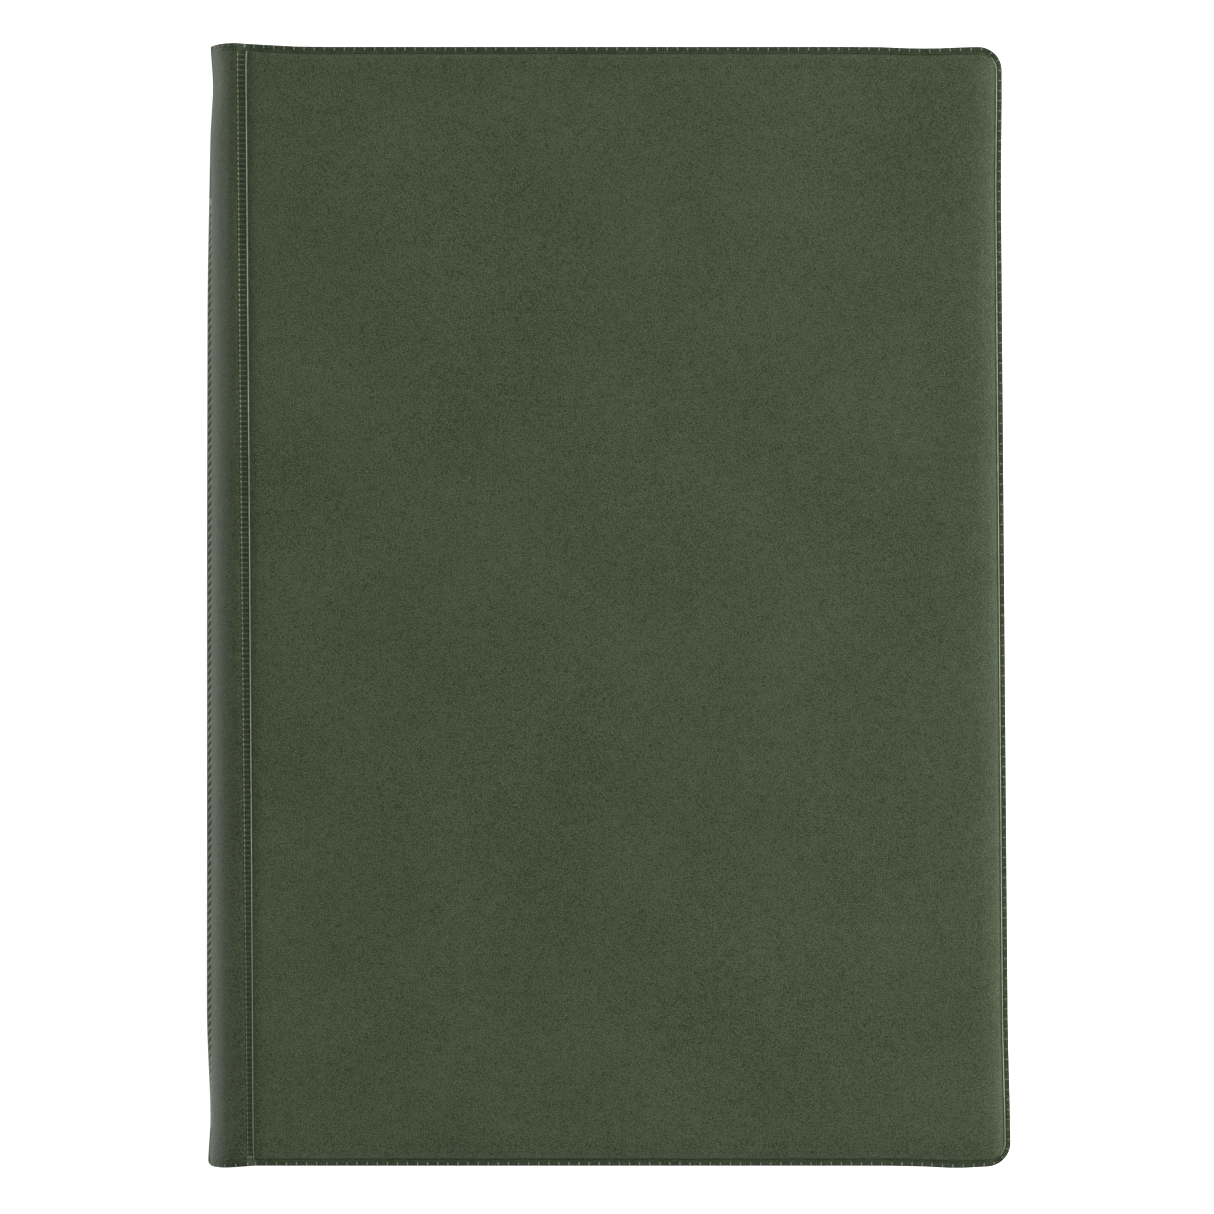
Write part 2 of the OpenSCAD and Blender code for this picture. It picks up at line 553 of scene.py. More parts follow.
def flat_rectangle(name: str, low: Corner, high: Corner) -> bpy.types.Object:
    """A flat rectangle in the XY plane, with its place in its mesh.

    Args:
        name: the object's name.
        low: lowest x and y.
        high: highest x and y.

    Returns:
        The object.
    """
    nothing_selected()
    middle = ((low[0] + high[0]) / 2, (low[1] + high[1]) / 2, 0.0)
    bpy.ops.mesh.primitive_plane_add(size=1.0, location=middle)
    piece = bpy.context.object
    piece.name = piece.data.name = name
    piece.scale = (high[0] - low[0], high[1] - low[1], 1.0)
    bpy.ops.object.transform_apply(location=True, rotation=True, scale=True)
    return piece


def slice_at(axis: int, at: float, drop_low: bool = False) -> None:
    """Cut everything that is in edit mode across one axis.

    Args:
        axis: 0 for x, 1 for y.
        at: where the cut is.
        drop_low: whether what is below the cut is taken away.
    """
    bpy.ops.mesh.select_all(action="SELECT")
    place, normal = [0.0, 0.0, 0.0], [0.0, 0.0, 0.0]
    place[axis], normal[axis] = at, 1.0
    bpy.ops.mesh.bisect(plane_co=place, plane_no=normal, clear_inner=drop_low, threshold=1e-7)


def slice_all(axis: int, cuts: Iterable[float]) -> None:
    """Cut everything that is in edit mode at several places of one axis.

    Args:
        axis: 0 for x, 1 for y.
        cuts: the places, in the order they are cut.
    """
    for cut in cuts:
        slice_at(axis, float(cut))


def thicken(piece: bpy.types.Object, thickness: float) -> None:
    """Give a flat sheet its thickness below its face.

    Args:
        piece: the flat sheet.
        thickness: in millimetres.
    """
    take(piece)
    solid = piece.modifiers.new("thickness", "SOLIDIFY")
    solid.thickness, solid.offset = thickness, -1.0
    bpy.ops.object.modifier_apply(modifier=solid.name)


def turn_faces(piece: bpy.types.Object) -> None:
    """Turn all faces of a mirrored piece outwards again."""
    edit(piece)
    bpy.ops.mesh.flip_normals()
    done()


def smooth(piece: bpy.types.Object, angle: float = 40.0) -> None:
    """Shade smooth, with edges sharper than an angle left sharp.

    Args:
        piece: the object.
        angle: in degrees.
    """
    take(piece)
    bpy.ops.object.shade_smooth_by_angle(angle=math.radians(angle))


def small_bar(name: str, size: tuple[float, float, float], edge: float) -> bpy.types.Object:
    """One raised bar with rounded edges, in millimetres about the origin.

    Args:
        name: the object's name.
        size: length, width and height.
        edge: width of the edge rounding.

    Returns:
        The object.
    """
    nothing_selected()
    bpy.ops.mesh.primitive_cube_add(size=1.0)
    piece = bpy.context.object
    piece.name = piece.data.name = name
    piece.scale = size
    bpy.ops.object.transform_apply(location=False, rotation=False, scale=True)
    edit(piece)
    bpy.ops.mesh.bevel(offset=edge, segments=1, affect="EDGES")
    done()
    return piece


def copies(name: str, pattern: bpy.types.Object, places: Sequence[Place]) -> bpy.types.Object:
    """Copy one small shape to many places of a flat sheet.

    Args:
        name: the new object's name.
        pattern: the shape; it is taken away afterwards.
        places: x, y and turn in radians of each copy.

    Returns:
        One object of all the copies.
    """
    base = points_of(pattern)
    faces = [tuple(p.vertices) for p in pattern.data.polygons]
    points, polygons = [], []
    for index, (x, y, turn) in enumerate(places):
        c, s = math.cos(turn), math.sin(turn)
        moved = base.copy()
        moved[:, 0] = x + base[:, 0] * c - base[:, 1] * s
        moved[:, 1] = y + base[:, 0] * s + base[:, 1] * c
        points.append(moved)
        shift = index * len(base)
        polygons += [tuple(v + shift for v in face) for face in faces]
    mesh = bpy.data.meshes.new(name)
    mesh.from_pydata(np.vstack(points).tolist(), [], polygons)
    mesh.update()
    made = bpy.data.objects.new(name, mesh)
    bpy.context.scene.collection.objects.link(made)
    bpy.data.objects.remove(pattern, do_unlink=True)
    return made


def join(main: bpy.types.Object, others: Iterable[bpy.types.Object]) -> bpy.types.Object:
    """Join objects into the first one.

    Args:
        main: the object that stays.
        others: the objects that become part of it.

    Returns:
        The joined object.
    """
    take(main)
    for other in others:
        other.select_set(True)
    bpy.ops.object.join()
    return main


def smoothstep(low: float, high: float, value: np.ndarray) -> np.ndarray:
    """Smooth step from 0 at low to 1 at high."""
    t = np.clip((value - low) / (high - low), 0.0, 1.0)
    return t * t * (3.0 - 2.0 * t)


# ---------------------------------------------------------------- sheets round the fold


def bezier(corners: Sequence[Any], count: int = 24) -> np.ndarray:
    """Points of a cubic curve.

    Args:
        corners: its four control points.
        count: how many points.

    Returns:
        One row for each point.
    """
    t = np.linspace(0.0, 1.0, count)[:, None]
    a, b, c, d = (np.array(p, float) for p in corners)
    return a * (1 - t) ** 3 + 3 * b * t * (1 - t) ** 2 + 3 * c * t * t * (1 - t) + d * t**3


class FoldLine:
    """The line a cover sheet follows, seen from the tail edge, in millimetres.

    A place on it is s: the x position on the flat cover, and from there the
    length along the line towards the spine, counted down.
    """

    def __init__(self, runs: Sequence[np.ndarray], outward: int) -> None:
        """Measure the line.

        Args:
            runs: stretches of points, from the fore-edge towards the spine.
            outward: 1 where outside is up on the flat part, -1 where it is down.
        """
        line = np.vstack(runs)
        keep = np.r_[True, np.hypot(*np.diff(line, axis=0).T) > 1e-6]
        self.line = line[keep]
        steps = np.hypot(*np.diff(self.line, axis=0).T)
        self.s = self.line[0, 0] - np.r_[0.0, np.cumsum(steps)]
        ahead = np.gradient(self.line, axis=0)
        ahead /= np.hypot(*ahead.T)[:, None]
        self.out = np.column_stack([ahead[:, 1], -ahead[:, 0]]) * outward

    def at(self, s: np.ndarray) -> tuple[np.ndarray, np.ndarray]:
        """Place and outward direction.

        Args:
            s: places along the line.

        Returns:
            Positions and unit normals, in x and z.
        """
        key = -s
        place = np.column_stack([np.interp(key, -self.s, self.line[:, i]) for i in (0, 1)])
        over = np.maximum(s - self.s[0], 0.0)
        place[:, 0] += over
        out = np.column_stack([np.interp(key, -self.s, self.out[:, i]) for i in (0, 1)])
        out /= np.hypot(*out.T)[:, None]
        return place, out


@dataclass
class Binding:
    """Sizes that the covers, the spine and their sheets share, in millimetres."""

    half_length: float = 155.5
    top: float = 16.1
    shoulder_start: float = -96.8
    spine_start: float = -101.5
    lip_start: tuple[float, float] = (-111.2, 2.2)
    lip_reach: float = -110.6
    corner: float = 6.5
    front_fore: float = 110.0
    back_fore: float = 100.9
    front_hinge: tuple[float, float] = (-100.5, 14.5)
    back_hinge: tuple[float, float] = (-109.6, 1.6)
    skin: float = 0.5
    flange: float = 2.8
    spine_drop: float = 0.9
    skew: float = -0.0081
    skew_shift: float = 0.35
    ladder: float = -100.5
    rail: float = 1.05
    lip: float = 0.55
    bow: float = 17.0
    groove_at: tuple[float, ...] = (0, 0.12, 1.15, 1.25, 1.35, 1.45, 1.6, 1.75, 1.9)
    groove: tuple[float, ...] = (-0.14, 0, 0, -0.07, -0.07, 0.06, 0.16, 0.1, 0.0)
    ladder_at: tuple[float, ...] = (
        *(-3.9, -2.7, -1.65, -1.42, -1.2, -1.05, -0.9, -0.75),
        *(0.75, 0.9, 1.05, 1.2, 1.42, 1.65, 2.7, 3.9),
    )
    ladder_rise: tuple[float, ...] = (
        *(0, -0.1, -0.3, -0.42, -0.30, -0.22, -0.34, -0.55),
        *(-0.55, -0.42, -0.36, -0.42, -0.5, -0.38, -0.12, 0),
    )
    front_line: FoldLine = field(init=False)
    back_line: FoldLine = field(init=False)
    lip_root: float = field(init=False)
    lip_end: float = field(init=False)
    back_end: float = field(init=False)

    def __post_init__(self) -> None:
        """Draw the two fold lines."""
        top, edge, lip_start = self.top, (self.shoulder_start, self.top), self.lip_start
        start, foot = (self.spine_start, top - 0.35), (-110.2, 4.0)
        lip_x = lip_start[0] - self.lip
        flat = np.array([(self.front_fore, top), edge])
        shoulder = bezier([edge, (-98.6, top), (-99.9, top - 0.3), start])
        panel = bezier([start, (-104.9, top - 0.43), (-109.0, 11.0), foot], 60)
        turn = bezier([foot, (-110.4, 2.9), (-110.7, 2.5), lip_start], 12)
        lip = np.array([lip_start, (lip_x, 1.9)])
        self.front_line = FoldLine([flat, shoulder, panel, turn, lip], 1)
        self.lip_end = float(self.front_line.s[-1])
        self.lip_root = self.lip_end + math.hypot(self.lip, 0.3)
        under = np.array([(self.back_fore, 0.0), (-105.6, 0.0)])
        rise = bezier([(-105.6, 0.0), (-107.4, 0.0), (-108.1, 0.75), (-109.3, 0.85)])
        fin = np.array([(-109.3, 0.85), (-110.65, 1.35), (lip_x, 1.75)])
        self.back_line = FoldLine([under, rise, fin], -1)
        self.back_end = float(self.back_line.s[-1])

    def spine_arc(self, share: np.ndarray, depth: np.ndarray) -> np.ndarray:
        """Points of the shallow arc between the two hinges.

        Args:
            share: 0 at the front hinge, 1 at the back hinge.
            depth: distance outside the arc through both hinges.

        Returns:
            Rows of x and z.
        """
        (fx, fz), (bx, bz) = self.front_hinge, self.back_hinge
        chord, lean = math.dist(self.front_hinge, self.back_hinge), math.atan2(fz - bz, fx - bx)
        bow = math.radians(self.bow)
        radius = chord / 2 / math.sin(bow)
        deep = radius * math.cos(bow)
        centre = ((fx + bx) / 2 + deep * math.sin(lean), (fz + bz) / 2 - deep * math.cos(lean))
        turn = lean + math.pi / 2 + bow * (2.0 * share - 1.0) * 0.9
        reach = radius + depth
        x, up = centre[0] + reach * np.cos(turn), centre[1] + reach * np.sin(turn)
        return np.column_stack([x, up])

    def hinge_of(self, side: Cover) -> tuple[float, float]:
        """The hinge axis of a cover, in x and z."""
        return self.front_hinge if side is Cover.FRONT else self.back_hinge

    def edge_distance(self, fore: float, s: np.ndarray, y: np.ndarray) -> np.ndarray:
        """Distance in from the welded edge, round the two fore-edge corners.

        Args:
            fore: the cover's fore-edge.
            s: flat places across.
            y: flat places along.

        Returns:
            The distances.
        """
        dx, dy, r = fore - s, self.half_length - np.abs(y), self.corner
        round_part = r - np.hypot(r - dx, r - dy)
        return np.where((dx < r) & (dy < r), round_part, np.minimum(dx, dy))

    def skewed(self, s: np.ndarray, y: np.ndarray) -> np.ndarray:
        """How far a place of the front cover has slid across.

        Args:
            s: flat places across.
            y: flat places along.

        Returns:
            The shift in x.
        """
        return (self.skew * y + self.skew_shift) * smoothstep(-108.0, -101.6, s)


@dataclass
class Roll:
    """How the padding rolls off to the welded edge, in millimetres."""

    fore: float = 10.5
    end: float = 7.0
    power: float = 2.3
    weld: float = 1.9

    def height(self, b: Binding, fore: float, s: np.ndarray, y: np.ndarray) -> np.ndarray:
        """Share of the full height, 0 at the weld and 1 on the flat.

        Args:
            b: the binding's sizes.
            fore: the cover's fore-edge.
            s: flat places across.
            y: flat places along.

        Returns:
            The shares.
        """
        dx, dy = fore - s, b.half_length - np.abs(y)
        edge = b.edge_distance(fore, s, y)
        soft = -np.log(np.exp(-0.5 * dx) + np.exp(-0.5 * dy)) / 0.5
        near = smoothstep(2.5, 6.5, edge)
        inner = edge * (1 - near) + np.minimum(soft, edge) * near
        side = smoothstep(-0.35, 0.35, (dy - dx) / (np.abs(dx) + np.abs(dy) + 1e-6))
        width = self.end + (self.fore - self.end) * side
        t = np.clip(1.0 - (inner - self.weld) / width, 0.0, 1.0)
        return (1.0 - t**self.power) ** (1.0 / self.power)


@dataclass
class CoverLayer:
    """One layer of a cover, cut flat and laid over the fold line."""

    side: Cover
    b: Binding
    roll: Roll = field(default_factory=Roll)
    part: str = "layer"
    thickness: float = 0.5
    inset: float = 0.0
    rings: tuple[float, ...] = ()
    grid: float = 12.0

    @property
    def front(self) -> bool:
        """Whether this belongs to the front cover."""
        return self.side is Cover.FRONT

    @property
    def fore(self) -> float:
        """The cover's fore-edge."""
        return self.b.front_fore if self.front else self.b.back_fore

    @property
    def end(self) -> float:
        """Where the layer ends towards the spine."""
        return self.b.hinge_of(self.side)[0] + 3.5

    @property
    def ladder(self) -> float:
        """The middle of the welded hinge ladder."""
        return self.b.ladder if self.front else self.b.back_hinge[0] + 0.9

    def cuts_across(self) -> list[float]:
        """Places of the cuts that run from head to tail."""
        return list(np.arange(self.fore - self.inset - self.grid, self.end, -self.grid))

    def cuts_along(self) -> list[float]:
        """Places of the cuts that run from the spine to the fore-edge."""
        return list(np.arange(-144.0, 144.1, self.grid))

    def flat_sheet(self) -> bpy.types.Object:
        """Cut the layer flat, with rings round its edge and a grid over it."""
        half, fore = self.b.half_length - self.inset, self.fore - self.inset
        name = f"{self.side.value}_{self.part}"
        sheet = flat_rectangle(name, (self.end - 9.0, -half), (fore, half))
        edit(sheet)
        bpy.ops.mesh.select_mode(type="VERT")
        bpy.ops.mesh.select_all(action="DESELECT")
        done()
        for v in sheet.data.vertices:
            v.select = v.co.x > 0
        bpy.ops.object.mode_set(mode="EDIT")
        corner = max(self.b.corner - self.inset, 2.0)
        bpy.ops.mesh.bevel(offset=corner, segments=16, affect="VERTICES", profile=0.5)
        bpy.ops.mesh.select_all(action="SELECT")
        bpy.ops.mesh.select_mode(type="FACE")
        before = 0.0
        for ring in self.rings:
            bpy.ops.mesh.inset(thickness=ring - before, depth=0.0, use_even_offset=True)
            before = ring
        slice_at(0, self.end, drop_low=True)
        slice_all(0, [cut for cut in self.cuts_across() if cut > self.end + 0.05])
        slice_all(1, self.cuts_along())
        done()
        thicken(sheet, self.thickness)
        return sheet

    def surface(self, s: np.ndarray, y: np.ndarray) -> np.ndarray:
        """Height of the outer skin over the fold line.

        Args:
            s: flat places across.
            y: flat places along.

        Returns:
            The heights.
        """
        b = self.b
        edge = b.edge_distance(self.fore, s, y)
        rise = self.roll.height(b, self.fore, s, y)
        if self.front:
            on_spine = smoothstep(-98.5, -102.5, s)
            drop = b.flange + (b.spine_drop - b.flange) * on_spine
            drop -= 0.7 * smoothstep(-103.0, -108.5, s)
        else:
            drop = b.flange * (1.0 - smoothstep(-104.0, -108.0, s)) + 0.2
        height = -drop * (1.0 - rise) + np.interp(edge, b.groove_at, b.groove)
        if self.front:
            inside = smoothstep(1.8, 2.8, edge)
            height += np.interp(s - self.ladder, b.ladder_at, b.ladder_rise) * inside
            rail = np.exp(-(((s - self.ladder - b.rail) / 0.1) ** 2))
            height += rail * (0.04 + 0.18 * smoothstep(-95.0, -35.0, y)) * inside
            waves = [noise.noise(Vector((a * 0.016, c * 0.013, 3.1))) for a, c in zip(s, y)]
            height += np.array(waves) * 0.22 * smoothstep(3.0, 12.0, edge)
        return height

    def height(self, s: np.ndarray, y: np.ndarray, z: np.ndarray) -> np.ndarray:
        """Height of this layer's points over the fold line.

        Args:
            s: flat places across.
            y: flat places along.
            z: flat height, 0 on the outer face.

        Returns:
            The heights.
        """
        return self.surface(s, y) + z * self.thin(s)

    def from_cut(self, s: np.ndarray, y: np.ndarray) -> np.ndarray:
        """Distance in from the layer's own cut edge."""
        return np.minimum(self.fore - self.inset - s, self.b.half_length - self.inset - np.abs(y))

    def thin(self, s: np.ndarray) -> np.ndarray:
        """Share of the thickness that is left where the sheets are pinched together."""
        if self.front:
            return 1.0 - 0.55 * smoothstep(self.b.lip_root + 1.0, self.b.lip_root, s)
        return 1.0 - 0.55 * smoothstep(-109.0, -110.5, s)

    def lip_length(self, y: np.ndarray) -> np.ndarray:
        """How far the lip stands out at each place along the crease, from 0 to 1."""
        grown = smoothstep(140.0, 80.0, y) * (0.92 - 0.15 * smoothstep(0.0, 100.0, y))
        return 0.08 + 0.92 * grown * smoothstep(-144.0, -112.0, y)

    def end_wave(self, x: np.ndarray, y: np.ndarray) -> np.ndarray:
        """How the head and tail edges wander off straight.

        Args:
            x: places across.
            y: places along.

        Returns:
            The shifts in y.
        """
        head = 1.0 * smoothstep(-82.0, -106.0, x) - 0.5 * np.exp(-(((x - 88.0) / 9.0) ** 2))
        tail = 0.4 - 0.65 * smoothstep(-98.0, -108.0, x) - 0.6 * np.exp(-(((x - 97.0) / 9.0) ** 2))
        return head * smoothstep(125.0, 155.0, y) + tail * smoothstep(-135.0, -155.0, y)

    def wrap(self, flat: np.ndarray) -> np.ndarray:
        """Lay flat points over the fold line.

        Args:
            flat: place across, place along and height over the surface.

        Returns:
            Points in metres.
        """
        b = self.b
        s, y, z = flat.T
        line = b.front_line if self.front else b.back_line
        place, out = line.at(s)
        height = self.height(s, y, z)
        x = place[:, 0] + out[:, 0] * height
        up = place[:, 1] + out[:, 1] * height
        if self.front:
            x += b.skewed(s, y)
            down_spine = (s - b.spine_start) / (b.lip_root - b.spine_start)
            belly = 0.25 * np.cos(y / b.half_length * math.pi * 0.5) - 0.05
            belly *= np.sin(np.clip(down_spine, 0, 1) * math.pi)
            x -= belly * 0.8
            up += belly * 0.5
            off = s - self.ladder
            spread = off * smoothstep(3.0, 1.7, np.abs(off))
            x += spread * (0.19 * y / 150.0 - 0.09 * (y / 150.0) ** 2)
        beyond = x - b.lip_reach
        x = np.where(beyond < 0, b.lip_reach + beyond * self.lip_length(y), x)
        pinch = 0.72 * np.exp(-(((y - 144.0) / 8.0) ** 2)) - 0.6 * smoothstep(-142.0, -155.0, y)
        x += pinch * smoothstep(-106.0, -109.4, x)
        x += 0.45 * smoothstep(112.0, 148.0, np.abs(y)) * smoothstep(90.0, 108.0, x)
        turn = np.clip((-110.0 - x) / 1.3, 0.0, 1.0)
        rounding = 1.3 * (1.0 - np.sqrt(1.0 - turn * turn))
        y = y - np.sign(y) * rounding * smoothstep(149.0, b.half_length, np.abs(y))
        return np.column_stack([x, y + self.end_wave(x, y), up]) * MM

    def finish(self, sheet: bpy.types.Object) -> bpy.types.Object:
        """Lay a flat sheet in place and shade it.

        Args:
            sheet: the flat sheet.

        Returns:
            The same object.
        """
        flat = points_of(sheet)
        set_points(sheet, self.wrap(flat))
        flat[:, 2] = self.height(*flat.T)
        remember_flat(sheet, flat)
        if not self.front:
            turn_faces(sheet)
        smooth(sheet)
        return sheet

    def build(self, material: bpy.types.Material) -> bpy.types.Object:
        """Make the layer.

        Args:
            material: its finish.

        Returns:
            The finished object.
        """
        sheet = self.flat_sheet()
        sheet.data.materials.append(material)
        return self.finish(sheet)


@dataclass
class CoverBoard(CoverLayer):
    """The stiff grey board in a cover."""

    part: str = "cover_board"
    thickness: float = 1.8
    inset: float = 4.8
    rings: tuple[float, ...] = (0.25,)
    level: float = -1.52
    pressed: float = 0.98
    broken: float = 0.12

    def height(self, s: np.ndarray, y: np.ndarray, z: np.ndarray) -> np.ndarray:
        """Level faces with the corners of the cut edge just broken.

        Args:
            s: flat places across.
            y: flat places along.
            z: flat height, 0 on the outer face.

        Returns:
            The heights.
        """
        edge = self.from_cut(s, y)
        outward = np.where(z > -self.thickness / 2, -1.0, 1.0)
        worn = self.broken * smoothstep(0.2, 0.0, edge) * outward
        return self.level + z * self.pressed + worn


@dataclass
class CoverFoam(CoverLayer):
    """The foam that pads a cover, which thins out over the board's edge."""

    part: str = "cover_foam"
    thickness: float = 1.0
    inset: float = 3.0
    rings: tuple[float, ...] = (0.4, 0.9, 1.5, 2.2, 3.0)
    gap: float = 0.04
    board_top: float = -1.48
    least: float = 0.12

    def cuts_across(self) -> list[float]:
        """Cuts that follow the roll-off."""
        near = [self.fore - self.inset - d for d in (4.2, 5.6, 7.5)]
        return near + super().cuts_across()

    def cuts_along(self) -> list[float]:
        """Cuts that follow the roll-off at head and tail."""
        near = [self.b.half_length - self.inset - d for d in (4.0, 5.5)]
        return near + [-d for d in near] + super().cuts_along()

    def height(self, s: np.ndarray, y: np.ndarray, z: np.ndarray) -> np.ndarray:
        """Crowned top against the skin, bottom on the board and down over its edge.

        Args:
            s: flat places across.
            y: flat places along.
            z: flat height, 0 on the outer face.

        Returns:
            The heights.
        """
        top = self.surface(s, y) - self.b.skin - self.gap
        edge = self.from_cut(s, y)
        top -= self.least * smoothstep(0.9, 0.0, edge)
        bottom = np.minimum(self.board_top, top - self.least)
        return np.where(z > -self.thickness / 2, top, bottom)


@dataclass
class CoverLining(CoverLayer):
    """A cover's lining, which runs on over the hinge and meets the skin at the welds."""

    part: str = "lining_sheet"
    thickness: float = 0.4
    rings: tuple[float, ...] = (0.12, 1.3, 1.6, 2.2)
    grid: float = 9.0
    root_lap: float = 1.4
    level: float = -3.32
    gap: float = 0.02

    @property
    def end(self) -> float:
        """Where the lining ends."""
        return self.b.lip_root + self.root_lap if self.front else self.b.back_end + 1.6

    def cuts_across(self) -> list[float]:
        """Cuts that follow the bend at the hinge."""
        bend = -96.0 if self.front else -104.5
        cuts = list(np.arange(self.fore - self.grid, bend + 4.0, -self.grid))
        return cuts + list(np.arange(bend, self.end, -0.6))

    def height(self, s: np.ndarray, y: np.ndarray, z: np.ndarray) -> np.ndarray:
        """Flat under the board, close under the skin at the hinge and on the spine.

        Args:
            s: flat places across.
            y: flat places along.
            z: flat height, 0 on the outer face.

        Returns:
            The heights.
        """
        b = self.b
        if self.front:
            base = self.level + 2.15 * smoothstep(-97.4, -99.8, s)
            base -= 0.3 * smoothstep(-101.6, -104.0, s)
        else:
            base = self.level + 2.77 * smoothstep(-105.6, -108.6, s)
        under = self.surface(s, y) - b.skin * self.thin(s) - self.gap
        return np.minimum(base, under) + z * self.thin(s)

    def wrap(self, flat: np.ndarray) -> np.ndarray:
        """Lay the lining in the cover, and flat across the hollow of the spine between its welds.

        Args:
            flat: place across, place along and height.

        Returns:
            Points in metres.
        """
        laid = super().wrap(flat)
        if not self.front:
            return laid
        b = self.b
        s, y, z = flat.T
        span = b.lip_root + self.root_lap - b.spine_start
        share = np.clip((s - b.spine_start) / span, 0.0, 1.0)
        across = b.spine_arc(share, -0.6 + z) * MM
        inside = smoothstep(-101.6, -104.0, s) * smoothstep(153.0, 148.0, np.abs(y))
        inside *= smoothstep(b.lip_root + self.root_lap, b.lip_root + 3.0, s)
        laid[:, 0] += (across[:, 0] - laid[:, 0]) * inside
        laid[:, 2] += (across[:, 1] - laid[:, 2]) * inside
        return laid


@dataclass
class SpineCard(CoverLayer):
    """The card that stiffens the spine, between skin and lining."""

    part: str = "spine_stiffener"
    thickness: float = 0.45
    inset: float = 3.0

    def flat_sheet(self) -> bpy.types.Object:
        """Cut the card flat."""
        half = self.b.half_length - self.inset
        card = flat_rectangle(self.part, (self.b.lip_root + 2.2, -half), (-104.4, half))
        edit(card)
        slice_all(0, np.arange(-105.0, self.b.lip_root + 2.3, -0.6))
        slice_all(1, self.cuts_along())
        done()
        thicken(card, self.thickness)
        return card

    def height(self, s: np.ndarray, y: np.ndarray, z: np.ndarray) -> np.ndarray:
        """Just under the skin."""
        return self.surface(s, y) - self.b.skin - 0.03 + z


@dataclass
class CoverSkin(CoverLayer):
    """A cover's outer skin: grained vinyl with a welded edge and a welded hinge ladder."""

    part: str = "skin_sheet"
    rings: tuple[float, ...] = (
        *(0.12, 1.15, 1.25, 1.35, 1.45, 1.6, 1.75, 1.9),
        *(2.15, 2.6, 3.3, 4.4, 5.8),
    )
    tick_pitch: float = 2.8
    rung_pitch: float = 1.4
    lip_pitch: float = 2.23
    lip_slant: float = 0.7
    lip_from: float = -145.0
    lip_to: float = 112.0

    @property
    def end(self) -> float:
        """Where the sheet ends at the back crease."""
        return self.b.lip_end if self.front else self.b.back_end

    def cuts_across(self) -> list[float]:
        """Places of the cuts that run from head to tail."""
        cuts = [self.fore - d for d in (7.2, 8.8, 10.8, 13.5, 17.0)]
        cuts += list(np.arange(self.fore - 24.0, -92.0, -9.0))
        if self.front:
            cuts += [self.ladder + x for x in self.b.ladder_at]
            cuts += [self.ladder + x for x in (2.1, 3.3, -2.1, -3.3, 5.0, 6.5)]
            cuts += list(np.arange(self.ladder - 4.7, self.b.lip_root + 1.3, -0.75))
            cuts += list(np.arange(self.b.lip_root + 1.25, self.b.lip_end, -0.2))
        else:
            cuts += list(np.arange(-98.0, self.end, -0.7))
        return sorted({round(c, 3) for c in cuts}, reverse=True)

    def cuts_along(self) -> list[float]:
        """Places of the cuts that run from the spine to the fore-edge."""
        ends = [self.b.half_length - d for d in (7.0, 8.4, 10.2, 13.0)]
        return ends + [-c for c in ends] + list(np.arange(-138.0, 138.1, 6.0))

    def edge_places(self, pitch: float, inset: float) -> list[Place]:
        """Places at one pitch along the welded edge, from the tail round to the head.

        Args:
            pitch: distance between them.
            inset: distance in from the edge.

        Returns:
            Place and turn of each.
        """
        r, cx = self.b.corner - inset, self.fore - self.b.corner
        high, arc = self.b.half_length - self.b.corner, math.pi / 2 * r
        half = high + arc + cx - (self.end + 0.6)
        places = []
        for k in range(int(2 * half / pitch)):
            d = (k + 0.5) * pitch - half
            side, past = math.copysign(1.0, d), abs(d) - high
            if past < 0:
                places.append((cx + r, d, 0.0))
            elif past < arc:
                a = past / r
                places.append((cx + r * math.cos(a), side * (high + r * math.sin(a)), side * a))
            else:
                places.append((cx + arc - past, side * (high + r), math.pi / 2))
        return places

    def weld_marks(self) -> list[bpy.types.Object]:
        """Ticks across the welded edge, and the ladder's rungs and beads."""
        every = self.edge_places(self.tick_pitch / 2, 0.62)
        marks = [
            copies("edge_ticks", small_bar("tick", (0.9, 0.28, 0.1), 0.04), every[::2]),
            copies("edge_half_ticks", small_bar("half_tick", (0.7, 0.16, 0.07), 0.03), every[1::2]),
        ]
        if self.front:
            marks += self.ladder_marks() + [self.lip_marks()]
        return marks

    def ladder_marks(self) -> list[bpy.types.Object]:
        """The rungs and the left rail's beads of the front hinge ladder."""
        reach = self.b.half_length - 2.6
        rows = [float(y) for y in np.arange(-reach, reach, self.rung_pitch)]
        rung = small_bar("rung", (1.5, 0.3, 0.1), 0.04)
        bead = small_bar("bead", (0.3, 0.72, 0.26), 0.09)
        return [
            copies("ladder_rungs", rung, [(self.ladder, y, 0.0) for y in rows]),
            copies("ladder_beads", bead, [(self.ladder - self.b.rail, y, 0.0) for y in rows]),
        ]

    def lip_marks(self) -> bpy.types.Object:
        """The slanting dark bars along the lip at the back crease, painted shade for the shaded
        grooves between its weld ribs.
        """
        middle = self.b.lip_end + 1.15
        along = np.arange(self.lip_from + 2.0, self.lip_to, self.lip_pitch)
        rows = [(middle, float(y), 0.0) for y in along]
        bars = copies("lip_groove_shade_bars", small_bar("lip_bar", (2.2, 0.75, 0.2), 0.05), rows)
        slant = points_of(bars)
        slant[:, 1] += (slant[:, 0] - middle) * self.lip_slant
        set_points(bars, slant)
        return bars

    def zone(self, s: float, y: float, z: float) -> int:
        """Which material slot a face of the sheet takes.

        Args:
            s: flat place across.
            y: flat place along.
            z: flat height.

        Returns:
            0 grained, 1 pale pressed rail (a painted highlight on the fore-edge), 2 painted shade
            on the weld band and the ladder's floor, 3 lip lightened against its shade.
        """
        edge = float(self.b.edge_distance(self.fore, np.array([s]), np.array([y]))[0])
        inward, outside = self.fore - s, z > -0.1
        rail = self.front and 0.9 < s - self.ladder < 1.2 and edge > 2.0
